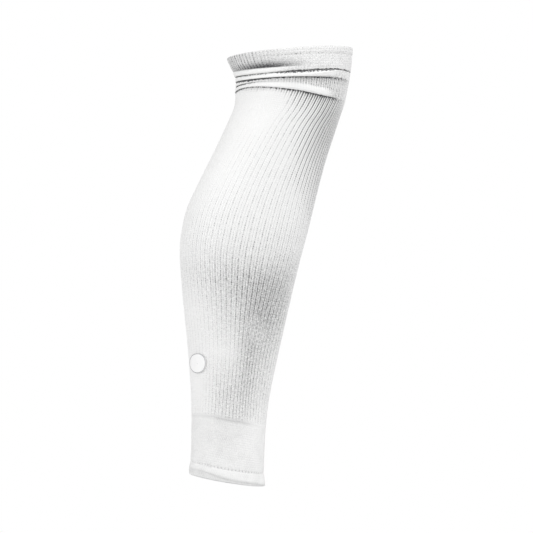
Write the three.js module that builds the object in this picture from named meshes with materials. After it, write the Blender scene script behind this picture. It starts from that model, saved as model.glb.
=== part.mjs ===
// A ribbed knit soccer sleeve, shaped as it sits on a lower leg whose knee is a little bent.
// Millimetres, +Z up, +X towards the shin, -Y towards the side that carries the badge.
// The origin lies on the leg's axis at the fullest part of the calf.

import * as THREE from "three";

// Knit
const WALL = 1.8; // thickness of the knit at the crest of a rib
const PLAIN_WALL = 1.4; // thickness of the plain knit at the ankle
const RIB_COUNT = 64; // ribs around the leg, the same number from end to end
const RIB_DEPTH = 0.7; // how far the groove between two ribs is sunk
const ZONE_GAP = 0.3; // clearance where two zones of knit meet

// Furrow between the calf and the shin, on both sides of the leg
const FURROW_ANGLE = THREE.MathUtils.degToRad(56); // from the shin, around the leg
const FURROW_SPREAD = THREE.MathUtils.degToRad(24);

// Gathers behind the knee
const FOLD_LEAN = 0.5; // how far a fold hangs down, as a share of its height
const FOLD_FADE = THREE.MathUtils.degToRad(45); // stretch over which a fold dies away
const FOLD_HOLLOW = 0.4; // how much of a fold's height shows as a hollow on the inside
const FOLD_STEPS = [0, 0.15, 0.5, 0.85]; // rows across a fold, from one crease towards the next

// Welt, the turned edge along the top rim
const WELT_FOOT = 0.87; // its lower side, as a share of the knee cuff's length
const WELT_STEP = 0.015; // length over which the knit doubles, as a share of the same
const WELT_LIFT = 0.4; // how much thicker the turned edge is than the single knit

// Bottom hem, a turned edge sewn down along its upper side
const HEM_WALL = 2.4;
const HEM_BULGE = 0.5; // how far the doubled knit swells between the sewn line and the fold
const HEM_ROUND = 0.8; // rounding of the folded lower edge

// Badge, a thin round patch that the stretched knit pulls wide
const BADGE = { halfWidth: 12.5, halfHeight: 9.1, thickness: 0.8, clearance: 0.3, bevel: 0.2 };
const BADGE_LEAN = 0.19; // how far its shin side is pulled up, as a share of the way across
const BADGE_WRAP = 2.7; // how far its left and right edges are shifted towards the back
const BADGE_TOP = 0.94; // size of its upper face inside the bevel, as a share of the whole
const BADGE_MIDDLE = 0.5; // size of the ring that lets its faces follow the leg's curve
const BADGE_ANGLE = THREE.MathUtils.degToRad(-139.2); // from the shin, on the -Y side
const BADGE_STATION = 6.613; // sections from the bottom rim, with shares of a section

// Facets around each piece
const LEG_FACETS = 2 * RIB_COUNT;
const LINING_FACETS = 36;
const CUFF_FACETS = 60;
const BAND_ROWS = 3;
const PLAIN_FACETS = 48;
const BADGE_FACETS = 24;

// Turns rows of values into objects that have the columns' names.
function table(columns, rows) {
  return rows.map((row) => Object.fromEntries(columns.map((column, i) => [column, row[i]])));
}

// Sections across the leg, from the bottom rim to the top rim. Each lies in a plane that runs
// from a point at the back of the leg to one at the front and is level from side to side.
// halfWidth is half the section's size from side to side, taper narrows it towards the shin,
// or towards the heel where it is negative, and furrow is the depth of the furrow beside the shin.
const SECTIONS = table(
  ["name", "backX", "backZ", "frontX", "frontZ", "halfWidth", "taper", "furrow"],
  [
    ["bottom rim", -50.2, -221.0, 18.3, -232.0, 30.5, -0.04, 0.0],
    ["hem middle", -49.9, -215.6, 17.4, -226.8, 30.0, -0.05, 0.0],
    ["hem seam", -49.0, -208.8, 16.9, -220.1, 29.3, -0.06, 0.0],
    ["ankle", -48.4, -196.2, 17.3, -207.5, 29.0, -0.07, 0.2],
    ["upper ankle", -48.2, -183.2, 17.8, -194.4, 29.4, -0.06, 0.4],
    ["rib start", -48.2, -167.8, 18.9, -178.4, 30.8, -0.04, 0.8],
    ["lower calf", -49.1, -140.4, 22.1, -152.1, 34.6, 0.02, 1.4],
    ["under calf", -51.7, -105.3, 28.9, -118.8, 40.6, 0.08, 2.2],
    ["calf edge", -55.3, -70.2, 36.5, -85.1, 47.2, 0.12, 2.6],
    ["calf swell", -57.9, -39.6, 43.2, -55.8, 52.3, 0.14, 2.2],
    ["calf full", -58.7, -18.0, 48.2, -35.1, 54.2, 0.14, 1.6],
    ["calf crest", -56.7, -0.9, 52.6, -18.0, 54.8, 0.14, 1.2],
    ["calf shoulder", -51.8, 18.9, 57.9, 1.8, 54.8, 0.12, 0.9],
    ["upper calf", -40.5, 43.2, 64.0, 27.0, 53.6, 0.1, 0.7],
    ["under knee", -26.6, 71.1, 71.7, 56.7, 52.0, 0.07, 0.5],
    ["knee bend", -14.9, 96.3, 80.6, 84.6, 50.8, 0.05, 0.3],
    ["knee hollow", -9.7, 108.9, 85.4, 99.0, 50.6, 0.04, 0.1],
    ["cuff seam", -8.5, 120.2, 89.7, 112.1, 51.2, 0.03, 0.0],
    ["lower gathers", -7.7, 128.0, 92.4, 124.3, 50.8, 0.02, 0.0],
    ["upper gathers", -8.4, 135.9, 94.5, 136.4, 51.4, 0.02, 0.0],
    ["band", -12.9, 143.7, 96.0, 148.6, 53.6, 0.02, 0.0],
    ["top rim", -15.9, 151.5, 96.6, 160.7, 55.2, 0.02, 0.0],
  ],
);

// Folds gathered behind the knee, from the lowest up, and the knee cuff's lower edge under them.
// The five places run around half the leg, each a share of the way from the cuff seam to the rim.
// reach is how far round from the back the fold runs, in degrees.
const QUARTERS = ["back", "rearQuarter", "side", "frontQuarter", "front"];
const FOLDS = table(
  ["name", ...QUARTERS, "height", "reach"],
  [
    ["lower roll", 0.11, 0.23, 0.205, 0.09, 0.07, 2.8, 150],
    ["short pleat", 0.26, 0.32, 0.35, 0.3, 0.28, 2.2, 75],
    ["middle roll", 0.4, 0.415, 0.46, 0.505, 0.5, 2.6, 152],
    ["upper roll", 0.55, 0.55, 0.57, 0.63, 0.62, 2.4, 98],
  ],
);
const CUFF_EDGE = { back: 0.02, rearQuarter: 0.16, side: 0.12, frontQuarter: 0.03, front: 0.02 };

const LAST_STATION = SECTIONS.length - 1;
const stationOf = (name) => SECTIONS.findIndex((section) => section.name === name);

const curveThrough = (first, second) =>
  new THREE.SplineCurve(SECTIONS.map((section) => new THREE.Vector2(section[first], section[second])));
const backEdge = curveThrough("backX", "backZ");
const frontEdge = curveThrough("frontX", "frontZ");
const girth = curveThrough("halfWidth", "taper");
const furrow = curveThrough("furrow", "furrow");

// A point of the sleeve's surface. station counts sections from the bottom rim, angle runs around
// the leg from the shin, lift stands off the surface and slide moves along the leg.
function surfacePoint(station, angle, lift, slide = 0) {
  const share = station / LAST_STATION;
  const back = backEdge.getPoint(share);
  const front = frontEdge.getPoint(share);
  const { x: halfWidth, y: taper } = girth.getPoint(share);
  const halfDepth = back.distanceTo(front) / 2;
  const forward = front.clone().sub(back).normalize();
  const up = new THREE.Vector2(-forward.y, forward.x);
  const [cos, sin] = [Math.cos(angle), Math.sin(angle)];
  const normal = new THREE.Vector2(
    halfWidth * (cos - taper * Math.cos(2 * angle)),
    halfDepth * sin,
  ).normalize();
  const fromShin = Math.acos(cos);
  const sunk = furrow.getPoint(share).x * Math.exp(-(((fromShin - FURROW_ANGLE) / FURROW_SPREAD) ** 2));
  const off = lift - sunk;
  const place = back
    .lerp(front, 0.5)
    .addScaledVector(forward, halfDepth * cos + normal.x * off)
    .addScaledVector(up, slide);
  const across = halfWidth * sin * (1 - taper * cos) + normal.y * off;
  return new THREE.Vector3(place.x, across, place.y);
}

// A closed ring of points, counter-clockwise seen from above.
function ring(count, pointAt) {
  return Array.from({ length: count }, (_, i) => pointAt((2 * Math.PI * i) / count, i));
}

// Joins two rings, which may have different numbers of points, by a band of triangles.
function joinRings(lower, upper, corners) {
  let i = 0;
  let j = 0;
  while (i < lower.length || j < upper.length) {
    const here = lower[i % lower.length];
    const there = upper[j % upper.length];
    const stepLower =
      j === upper.length || (i < lower.length && (i + 1) / lower.length <= (j + 1) / upper.length);
    const next = stepLower ? lower[(i + 1) % lower.length] : upper[(j + 1) % upper.length];
    if (next !== here && next !== there) corners.push(here, next, there);
    if (stepLower) i += 1;
    else j += 1;
  }
}

// A closed body whose skin runs through the rings in turn and back to the first one. A ring of one
// point closes the skin to a tip.
function loft(rings) {
  const corners = [];
  rings.forEach((lower, k) => joinRings(lower, rings[(k + 1) % rings.length], corners));
  return new THREE.BufferGeometry().setFromPoints(corners);
}

// A tube of knit between two lists of rings, both running upwards.
function knitTube(outer, inner) {
  return loft([...outer, ...inner.toReversed()]);
}

// Rows of knit at the sections from one to another. A row gives its point for an angle and a lift.
function rowsBetween(firstName, lastName) {
  const first = stationOf(firstName);
  const count = stationOf(lastName) - first + 1;
  return Array.from({ length: count }, (_, i) => (angle, lift, slide) =>
    surfacePoint(first + i, angle, lift, slide),
  );
}

// One skin of a zone of knit: a ring along each row, drawn back at both ends from the zones beside it.
function zoneSkin(rows, facets, liftAt) {
  const slides = rows.map(() => 0);
  slides[0] = ZONE_GAP / 2;
  slides[rows.length - 1] = -ZONE_GAP / 2;
  return rows.map((row, k) => ring(facets, (angle, i) => row(angle, liftAt(i), slides[k])));
}

// Angle around the leg from its back, the same on both sides.
const fromBack = (angle) => Math.PI - Math.acos(Math.cos(angle));

// The way that a row of places takes around half the leg, as a function of the angle.
function placesAround(row) {
  const curve = new THREE.SplineCurve(QUARTERS.map((quarter, i) => new THREE.Vector2(i, row[quarter])));
  return (angle) => curve.getPoint(fromBack(angle) / Math.PI).y;
}
const cuffEdge = placesAround(CUFF_EDGE);

// A point of the knee cuff, at a share of the way from the cuff seam to the rim.
function cuffPoint(share, angle, lift, slide) {
  const seam = stationOf("cuff seam");
  return surfacePoint(THREE.MathUtils.lerp(seam, LAST_STATION, share), angle, lift, slide);
}

// Ribbed leg: crests and grooves alternate around the outside, and the inside is smooth. Its upper
// edge arches up to the lowest fold.
function ribbedLeg() {
  const upperEdge = (angle, lift, slide) => cuffPoint(cuffEdge(angle), angle, lift, slide);
  const rows = [...rowsBetween("rib start", "knee hollow"), upperEdge];
  return knitTube(
    zoneSkin(rows, LEG_FACETS, (i) => (i % 2 ? -RIB_DEPTH : 0)),
    zoneSkin(rows, LINING_FACETS, () => -WALL),
  );
}

// Rows across the folds, from crease to crest to crease. Each row tells, for an angle, its share of
// the cuff's length and how far the knit stands off there.
function foldRows() {
  const crests = FOLDS.map(placesAround);
  const creases = [
    cuffEdge,
    ...crests.slice(1).map((crest, k) => (angle) => (crest(angle) + crests[k](angle)) / 2),
  ];
  const last = crests.length - 1;
  creases.push((angle) => 2 * crests[last](angle) - creases[last](angle));
  const rows = FOLDS.flatMap((fold, k) => {
    const reach = THREE.MathUtils.degToRad(fold.reach);
    const fade = (angle) => 1 - THREE.MathUtils.smoothstep(fromBack(angle), reach - FOLD_FADE, reach);
    return FOLD_STEPS.map((step) => {
      const toCrest = 2 * step - 1;
      const far = toCrest < 0 ? creases[k] : creases[k + 1];
      const round = Math.sqrt(1 - toCrest ** 2);
      return {
        share: (angle) => THREE.MathUtils.lerp(crests[k](angle), far(angle), Math.abs(toCrest)),
        height: (angle) => fold.height * fade(angle) * round,
      };
    });
  });
  return { rows, top: creases[last + 1] };
}

// Knee cuff: the same knit gathered into folds behind the knee, then a smooth band whose rim is
// turned into a welt.
function kneeCuff() {
  const { rows, top } = foldRows();
  const flat = () => 0;
  for (let i = 0; i <= BAND_ROWS; i += 1) {
    const up = i / BAND_ROWS;
    rows.push({ share: (angle) => THREE.MathUtils.lerp(top(angle), WELT_FOOT, up), height: flat });
  }
  rows.push({ share: () => WELT_FOOT + WELT_STEP, height: flat, welt: WELT_LIFT });
  rows.push({ share: () => 1, height: flat, welt: WELT_LIFT });
  const skin = (foldShare, liftOf) =>
    rows.map((row, k) =>
      ring(CUFF_FACETS, (angle) => {
        const fold = foldShare * row.height(angle);
        const slide = (k === 0 ? ZONE_GAP / 2 : 0) - FOLD_LEAN * fold;
        return cuffPoint(row.share(angle), angle, fold + liftOf(row), slide);
      }),
    );
  return knitTube(
    skin(1, (row) => row.welt ?? 0),
    skin(FOLD_HOLLOW, () => -WALL),
  );
}

// Ankle cuff: a short tube of plain knit between the ribs and the hem.
function ankleCuff() {
  const rows = rowsBetween("hem seam", "rib start");
  const skin = (lift) => zoneSkin(rows, PLAIN_FACETS, () => lift);
  return knitTube(skin(0), skin(-PLAIN_WALL));
}

// Bottom hem: doubled knit with a rounded lower edge, swelling a little below the sewn line.
function bottomHem() {
  const [rim, middle, seam] = ["bottom rim", "hem middle", "hem seam"].map(stationOf);
  const hemRing = (station, lift, slide = 0) =>
    ring(PLAIN_FACETS, (angle) => surfacePoint(station, angle, lift, slide));
  return knitTube(
    [
      hemRing(rim, -HEM_ROUND),
      hemRing(rim, 0, HEM_ROUND),
      hemRing(middle, HEM_BULGE),
      hemRing(seam, 0, -ZONE_GAP / 2),
    ],
    [
      hemRing(rim, HEM_ROUND - HEM_WALL),
      hemRing(rim, -HEM_WALL, HEM_ROUND),
      hemRing(middle, -HEM_WALL),
      hemRing(seam, -HEM_WALL, -ZONE_GAP / 2),
    ],
  );
}

// Badge: a thin disc that follows the curve of the calf just clear of the ribs.
function roundBadge() {
  const centre = surfacePoint(BADGE_STATION, BADGE_ANGLE, 0);
  const probe = 0.01; // a short step that measures the surface's size per unit of angle and station
  const perAngle = centre.distanceTo(surfacePoint(BADGE_STATION, BADGE_ANGLE + probe, 0)) / probe;
  const perStation = centre.distanceTo(surfacePoint(BADGE_STATION + probe, BADGE_ANGLE, 0)) / probe;
  const discPoint = (turn, size, lift) => {
    const reach = size * Math.cos(turn);
    const across = BADGE.halfWidth * reach;
    const up = size * BADGE.halfHeight * Math.sin(turn) + BADGE_LEAN * across;
    const shifted = across - BADGE_WRAP * reach * reach;
    return surfacePoint(BADGE_STATION + up / perStation, BADGE_ANGLE + shifted / perAngle, lift);
  };
  const discRing = (size, lift) => ring(BADGE_FACETS, (turn) => discPoint(turn, size, lift));
  const under = BADGE.clearance;
  const over = under + BADGE.thickness;
  return loft([
    [discPoint(0, 0, under)],
    discRing(BADGE_MIDDLE, under),
    discRing(1, under),
    discRing(1, over - BADGE.bevel),
    discRing(BADGE_TOP, over),
    discRing(BADGE_MIDDLE, over),
    [discPoint(0, 0, over)],
  ]);
}

const ribKnit = new THREE.MeshStandardMaterial({ color: 0xf1f1f0, roughness: 0.95, metalness: 0 });
const plainKnit = new THREE.MeshStandardMaterial({ color: 0xf3f3f2, roughness: 0.92, metalness: 0 });
const badgeFilm = new THREE.MeshStandardMaterial({ color: 0xfbfbfb, roughness: 0.45, metalness: 0 });

function piece(name, geometry, material) {
  geometry.computeVertexNormals();
  const mesh = new THREE.Mesh(geometry, material);
  mesh.name = name;
  return mesh;
}

const sleeve = new THREE.Group();
sleeve.add(
  piece("knee_cuff", kneeCuff(), ribKnit),
  piece("ribbed_leg", ribbedLeg(), ribKnit),
  piece("ankle_cuff", ankleCuff(), plainKnit),
  piece("bottom_hem", bottomHem(), plainKnit),
  piece("round_badge", roundBadge(), badgeFilm),
);

export default sleeve;
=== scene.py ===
"""Looks of a white ribbed soccer sleeve, shaped as it sits on a lower leg whose knee is a little bent.

The scene is in metres and the sizes below are in millimetres. +X runs towards the shin, -Y towards the
side that carries the badge and +Z up. Angles around the leg start at the shin and are negative on the
badge's side. Places along the leg are stations, which count the sections from the bottom rim.
"""
import math
from collections import namedtuple

import bpy
import numpy as np
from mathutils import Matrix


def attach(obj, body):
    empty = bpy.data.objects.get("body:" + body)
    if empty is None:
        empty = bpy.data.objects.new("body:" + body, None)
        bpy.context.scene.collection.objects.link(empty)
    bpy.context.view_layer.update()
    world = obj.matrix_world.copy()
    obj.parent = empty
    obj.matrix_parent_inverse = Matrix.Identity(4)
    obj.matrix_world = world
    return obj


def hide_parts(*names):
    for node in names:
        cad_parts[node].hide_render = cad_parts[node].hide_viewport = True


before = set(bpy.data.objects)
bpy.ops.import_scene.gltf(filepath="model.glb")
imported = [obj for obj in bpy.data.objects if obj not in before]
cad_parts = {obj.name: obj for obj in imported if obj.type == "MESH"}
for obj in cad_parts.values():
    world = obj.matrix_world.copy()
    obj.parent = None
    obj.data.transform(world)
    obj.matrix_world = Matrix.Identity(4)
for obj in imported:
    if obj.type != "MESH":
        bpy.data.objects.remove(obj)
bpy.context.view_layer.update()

MM = 0.001

# Knit
WALL = 1.8  # thickness of the rib knit
PLAIN_WALL = 1.4  # thickness of the plain knit at the ankle
RIB_COUNT = 64  # ribs around the leg, the same number from end to end
RIB_STEPS = (0, 0.05, 0.1, 0.18, 0.3, 0.42, 0.5, 0.58, 0.7, 0.82, 0.9, 0.95)  # columns of points on a rib
RIB_DEPTH = 0.85  # depth of the groove between two ribs where the knit is slack
TAUT_SHARE = 0.08  # what is left of that depth where the knit is stretched flat
GROOVE_CORE = 0.08  # half width of a groove's sharp middle, in ribs
GROOVE_SIDE = 0.2  # half width of its rounded sides, in ribs
GROOVE_SHARP = 0.6  # share of a groove's depth that its sharp middle takes
EDGE_STEP = 0.05  # a last narrow row that keeps the shading even up to a cut edge
WALES = 2  # columns of stitches on each rib
COURSE = 2.0  # height of a row of stitches

# How the knit looks on the calf, under the knee and on the cuff
CALF_TO_KNEE = (9.5, 15.0)  # stations between which the looks of the calf turn into those of the knee
CALF_LINES, KNEE_LINES, CUFF_LINES = 0.42, 2.4, 0.55  # how far the grooves gape and how dark their painted shade looks
CALF_GRAIN, KNEE_GRAIN, CUFF_GRAIN = 1.0, 0.3, 1.4  # how uneven the closed knit looks
RIBBED_GRAIN = 0.4  # share of the cuff's grain where its ribs show
CALF_PAINTED_SHADE, KNEE_PAINTED_SHADE = 1.1, 0.6  # how much painted shade greys it where it is slack
LEG_SPLIT, CALF_SPLIT, CUFF_SPLIT = 0.25, 0.62, 0.9  # depth of a rib's middle groove, as a share
CALF_SPLIT_RISE, CALF_SPLIT_FALL = (7.5, 9.5), (12.0, 14.2)  # stations between which the calf's share holds

# Furrow between the calf and the shin, on both sides of the leg
FURROW_ANGLE = math.radians(56)
FURROW_SPREAD = math.radians(24)

# Sections across the leg, from the bottom rim to the top rim: a point at the back, one at the front, half
# the size from side to side, how much that narrows towards the shin, and the depth of the furrow
Section = namedtuple("Section", "name back_x back_z front_x front_z half_width taper furrow")
SECTIONS = [
    Section("bottom rim", -50.2, -221.0, 18.3, -232.0, 30.5, -0.04, 0.0),
    Section("hem middle", -49.9, -215.6, 17.4, -226.8, 30.0, -0.05, 0.0),
    Section("hem seam", -49.0, -208.8, 16.9, -220.1, 29.3, -0.06, 0.0),
    Section("ankle", -48.4, -196.2, 17.3, -207.5, 29.0, -0.07, 0.2),
    Section("upper ankle", -48.2, -183.2, 17.8, -194.4, 29.4, -0.06, 0.4),
    Section("rib start", -48.2, -167.8, 18.9, -178.4, 30.8, -0.04, 0.8),
    Section("lower calf", -49.1, -140.4, 22.1, -152.1, 34.6, 0.02, 1.4),
    Section("under calf", -51.7, -105.3, 28.9, -118.8, 40.6, 0.08, 2.2),
    Section("calf edge", -55.3, -70.2, 36.5, -85.1, 47.2, 0.12, 2.6),
    Section("calf swell", -57.9, -39.6, 43.2, -55.8, 52.3, 0.14, 2.2),
    Section("calf full", -58.7, -18.0, 48.2, -35.1, 54.2, 0.14, 1.6),
    Section("calf crest", -56.7, -0.9, 52.6, -18.0, 54.8, 0.14, 1.2),
    Section("calf shoulder", -51.8, 18.9, 57.9, 1.8, 54.8, 0.12, 0.9),
    Section("upper calf", -40.5, 43.2, 64.0, 27.0, 53.6, 0.1, 0.7),
    Section("under knee", -26.6, 71.1, 71.7, 56.7, 52.0, 0.07, 0.5),
    Section("knee bend", -14.9, 96.3, 80.6, 84.6, 50.8, 0.05, 0.3),
    Section("knee hollow", -9.7, 108.9, 85.4, 99.0, 50.6, 0.04, 0.1),
    Section("cuff seam", -8.5, 120.2, 89.7, 112.1, 51.2, 0.03, 0.0),
    Section("lower gathers", -7.7, 128.0, 92.4, 124.3, 50.8, 0.02, 0.0),
    Section("upper gathers", -8.4, 135.9, 94.5, 136.4, 51.4, 0.02, 0.0),
    Section("band", -12.9, 143.7, 96.0, 148.6, 53.6, 0.02, 0.0),
    Section("top rim", -15.9, 151.5, 96.6, 160.7, 55.2, 0.02, 0.0),
]
SECTION_NAMES = [section.name for section in SECTIONS]
SECTION_COLUMNS = np.array([section[1:] for section in SECTIONS]).T
LAST_STATION = len(SECTIONS) - 1

# Low forms of the leg under the knit, the same on both sides: station, degrees from the shin, spread along
# the leg in stations and around it in degrees, and height
Form = namedtuple("Form", "name station turn along across height")
FORMS = [
    Form("calf swell", 10.5, 60, 2.4, 45, 3.5),
    Form("hollow under the calf", 7.4, 50, 1.4, 36, -3.5),
    Form("dip behind that hollow", 7.9, 88, 0.75, 28, -0.9),
    Form("hollow beside the shin", 13.8, 30, 1.7, 38, -1.9),
    Form("hollow over the ankle", 5.5, 57, 1.6, 27, -3.0),
]
FORM_EDGE = 35  # degrees from the shin over which the forms set in

# How slack the knit is, from 0 where it is stretched flat to 1 where its ribs close up. The places of each
# row run around half the leg: back, rear quarter, side, beside the shin, front quarter and shin.
# The slack also sets that painted shade, so these values follow the shaded hollows of the calf and beside
# the shin as well as how far the knit stretches
SLACK_PLACES = (0, 45, 90, 115, 140, 180)  # degrees from the back
SLACK = {
    "bottom rim": (0.05, 0.05, 0.05, 0.05, 0.05, 0.05),
    "upper ankle": (0.05, 0.2, 0.25, 0.2, 0.14, 0.1),
    "rib start": (0.05, 0.08, 0.28, 0.28, 0.1, 0.07),
    "lower calf": (0.03, 0.01, 0.44, 0.56, 0.36, 0.16),
    "under calf": (0.03, 0.05, 0.08, 0.72, 0.52, 0.1),
    "calf edge": (0.05, 0.05, 0.37, 0.95, 0.95, 0.25),
    "calf swell": (0.12, 0.25, 0.64, 0.9, 0.84, 0.3),
    "calf full": (0.0, 0.12, 0.28, 0.32, 0.42, 0.3),
    "calf crest": (0.0, 0.06, 0.1, 0.14, 0.12, 0.05),
    "calf shoulder": (0.0, 0.01, 0.035, 0.03, 0.03, 0.08),
    "upper calf": (0.0, 0.0, 0.01, 0.02, 0.06, 0.35),
    "under knee": (0.0, 0.0, 0.01, 0.03, 0.28, 0.7),
    "knee bend": (0.0, 0.0, 0.01, 0.12, 0.8, 1.0),
    "knee hollow": (0.0, 0.0, 0.01, 0.2, 0.9, 0.9),
    "cuff seam": (0.0, 0.0, 0.03, 0.5, 0.6, 0.2),
    "lower gathers": (0.05, 0.02, 0.08, 0.2, 0.22, 0.2),
    "upper gathers": (0.9, 0.5, 0.2, 0.2, 0.22, 0.2),
    "top rim": (0.8, 0.45, 0.18, 0.2, 0.3, 0.35),
}

# The ribs turn towards the shin as they come up to the knee, and a little on the lower calf. The turn grows
# and fades over stretches in stations, in degrees from the shin and in degrees from the back.
KNEE_TURN = math.radians(19)
KNEE_TURN_RISE = (12.6, 18.0)
KNEE_TURN_FRONT = (0, 50)
KNEE_TURN_BACK = (0, 60)
CALF_TURN = math.radians(5)
CALF_TURN_RISE = (4.0, 7.0)
CALF_TURN_FALL = (6.8, 10.5)
CALF_TURN_FRONT = (20, 140)
CALF_TURN_BACK = (0, 40)

# Line where the ribs start above the plain ankle, which bows up: degrees from the shin, spread and height
KNIT_LINE_BOWS = [
    ("beside the heel", 118, 25, 2.2),
    ("beside the shin", 65, 25, 0.8),
    ("whole side", 90, 55, 2.4),
]
KNIT_LINE_DARK = (0.1, 0.1, 0.12, 0.18, 0.25, 0.28, 0.1, 0.0, 0.0)  # how dark its painted shade is, from back to front
KNIT_LINE_WIDTH = 0.5
RIB_ONSET = 2.4  # length over which the ribs rise from it

# Folds gathered behind the knee, from the lowest up: their crests at five places around half the leg, each
# a share of the way from the cuff seam to the rim, their height and how many degrees from the back they run
Fold = namedtuple("Fold", "name crest height reach")
FOLDS = [
    Fold("lower roll", (0.11, 0.23, 0.205, 0.09, 0.07), 2.8, 150),
    Fold("short pleat", (0.26, 0.32, 0.35, 0.28, 0.28), 2.2, 75),
    Fold("middle roll", (0.4, 0.415, 0.46, 0.545, 0.5), 2.6, 152),
    Fold("upper roll", (0.55, 0.55, 0.57, 0.605, 0.62), 2.4, 98),
]
CUFF_EDGE = (0.02, 0.16, 0.12, 0.03, 0.02)  # the crease under the lowest fold, at the same places
FOLD_ROWS = 18  # rows of points across a fold
FOLD_LEAN = 0.7  # how far a fold hangs down, as a share of its height
FOLD_FADE = 45  # degrees over which a fold dies away
FOLD_BACK = 0.4  # what is left of a fold's height at the very back, where the knit lies tight
FOLD_BACK_SPREAD = 40  # degrees from the back over which it regains its height
FOLD_SWAY = 0.12  # how unevenly a fold swells along its length, as a share of its height
SWAY_WAVES = (3, 2)  # swells around the leg, in two sets that cross
SWAY_SHIFTS = (1.7, -1.0)  # how far they shift from fold to fold, in radians
ROLLED_FACE = 0.5  # share of a fold's height from which its face is stretched smooth

# Creases between the folds, from the one under the lowest up: depth, how far the painted shade spreads down
# and up from it, and how closed it is and how dark its painted shade is at nine places around half the leg,
# from the back to the front
Crease = namedtuple("Crease", "name depth down up closed")
CREASES = [
    Crease("under lower roll", 0.8, 1.0, 1.0, (0.8, 1.0, 1.0, 0.85, 0.85, 0.9, 0.9, 0.1, 0.0)),
    Crease("under short pleat", 1.3, 0.8, 0.9, (1.0, 0.9, 0.4, 0.0, 0.0, 0.0, 0.0, 0.0, 0.0)),
    Crease("under middle roll", 1.6, 1.4, 1.0, (0.8, 1.0, 1.4, 1.4, 1.0, 0.6, 0.5, 0.3, 0.0)),
    Crease("under upper roll", 1.6, 0.6, 0.8, (1.2, 1.0, 0.65, 0.65, 1.1, 0.9, 0.85, 0.7, 0.4)),
    Crease("under band", 2.2, 0.3, 4.5, (0.05, 0.25, 0.65, 0.9, 0.45, 0.0, 0.0, 0.0, 0.0)),
]
UNDER_MIDDLE_ROLL = 2  # place of that crease in the list
LEG_SHADE = 3.0  # how far below the lowest fold the knit of the leg gets painted shade
LEG_COMB_LENGTH = 5.5  # how far below the lowest fold its painted shade reaches between the ribs
LEG_COMB = (0.0, 0.0, 0.0, 0.15, 1.1, 1.6, 1.5, 0.3, 0.0)  # strength of that painted shade at the same places
CUFF_COMB_LENGTH = 4.5  # and the same below the middle roll
CUFF_COMB = (0.0, 0.0, 0.0, 0.0, 0.4, 0.65, 0.65, 0.4, 0.2)
COMB_TEETH = 0.4  # share of the painted shade there that lies between the ribs

# Band over the folds and the welt, the turned edge at the rim. Places are shares of the cuff's length.
BAND_START = (0.45, 0.6)
BAND_PLAIN = (0.0, 0.1, 1.0, 1.0, 1.0)  # how far its ribs are stretched away, from back to front
BAND_ROWS = 12
WELT_FOOT = 0.87
WELT_STEP = 0.015  # share over which its edge rises
WELT_LIFT = 0.4  # how far it stands out
WELT_LINE = (0.0, 0.0, 0.0, 0.15, 0.35, 0.35, 0.25, 0.15, 0.0)  # how dark the painted shade at its foot is, from back to front
WELT_ROWS = 6

# Bottom hem
HEM_WALL = 2.4
HEM_HEIGHT = 12.2  # from the rim up to the sewn line
HEM_MARKS = (0, 0.44, 1)  # heights of its three sections, as shares of its own
HEM_BULGE = 0.5  # how far its middle stands out
HEM_ROUND = 1.0  # height of the rounded rim
HEM_ROWS = 36
SEAM_PULL = 0.35  # how far the sewing pulls the knit in
SEAM_SPREAD = 0.9
PIERCE_DEPTH = 0.5  # dimple where the thread goes through the knit
PIERCE_SIZE = 0.5
PIERCE_DARK = (0.05, 0.15, 0.4, 0.3, 0.15)  # how dark the painted shade in such a dimple is, at five places from back to front
HEM_CREASE_HEIGHT = (4.5, 6.0, 3.0, 2.0, 0.9)  # height of the hem's crease over the rim, at the same places
HEM_CREASE_DEPTH = (0.1, 0.5, 0.9, 0.9, 0.4)
# how dark the painted shade in the hem's crease is, at the same places
HEM_CREASE_DARK = (0.1, 0.16, 0.2, 0.22, 0.15)
HEM_CREASE_SPREAD = 1.4
HEM_CREASE_FADE = 4.0  # how far its painted shade reaches down

# Sewing thread of the hem
THREAD_RADIUS = 0.27
THREAD_END = 0.25  # thickness at the ends of a stitch, as a share of that at its middle
THREAD_RISE = 0.6  # how far the middle of a stitch rises, as a share of the radius
THREAD_SHARE = 0.62  # length of a stitch, as a share of the way to the next
THREAD_STEPS = 9
THREAD_SIDES = 10

# Badge, a thin round patch
BADGE_STATION = 6.613
BADGE_ANGLE = math.radians(-139.2)
BADGE_HALF_WIDTH = 12.5
BADGE_HALF_HEIGHT = 9.1
BADGE_LEAN = 0.19  # how far its shin side is pulled up, as a share of the way across
BADGE_WRAP = 2.7  # how far its left and right edges are shifted towards the back
BADGE_THICKNESS = 0.8
BADGE_CLEARANCE = 0.3  # how far it stays off the ribs
BADGE_BEVEL = 0.25
BADGE_BEVEL_TURNS = (0.3, 1.57, 5)  # first and last angle of the rounded edge, and its rings
BADGE_CORE = 0.02  # size of the innermost ring, as a share of the badge's
BADGE_RINGS = 24
BADGE_BACK_SKIP = 3  # rings of its face for each ring of its back
BADGE_FACETS = 120

# Lengths along the pieces, and rows of points on them
LEG_LENGTH = 290  # about
LEG_STATIONS = 12.3  # about
LEG_ROWS = 108
LEG_LINING_ROWS = 8
ANKLE_LENGTH = 40  # about
ANKLE_ROWS = 26
CUFF_LENGTH = 40  # from the cuff seam to the rim
LINING_ROWS = 6  # of the ankle and of the hem
LINING_SKIP = 5  # rows of the knee cuff's outside for each row of its lining
LINING_CLEAR = 2.4  # how far that lining stays off the creases
LINING_RETURN = 0.1  # how far below the top of the folds it starts to come back, as a share of the cuff
RIM_ROWS = 5
RIM_TURNS = np.linspace(0, math.pi, RIM_ROWS + 2)[1:-1]  # angles of the rows around a rim

# Columns of points around the leg, denser at the grooves, in ribs and as angles before the ribs turn
COLUMN_RIB = (np.arange(RIB_COUNT)[:, None] + np.array(RIB_STEPS)).ravel()
COLUMN_ANGLE = 2 * math.pi * COLUMN_RIB / RIB_COUNT

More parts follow.
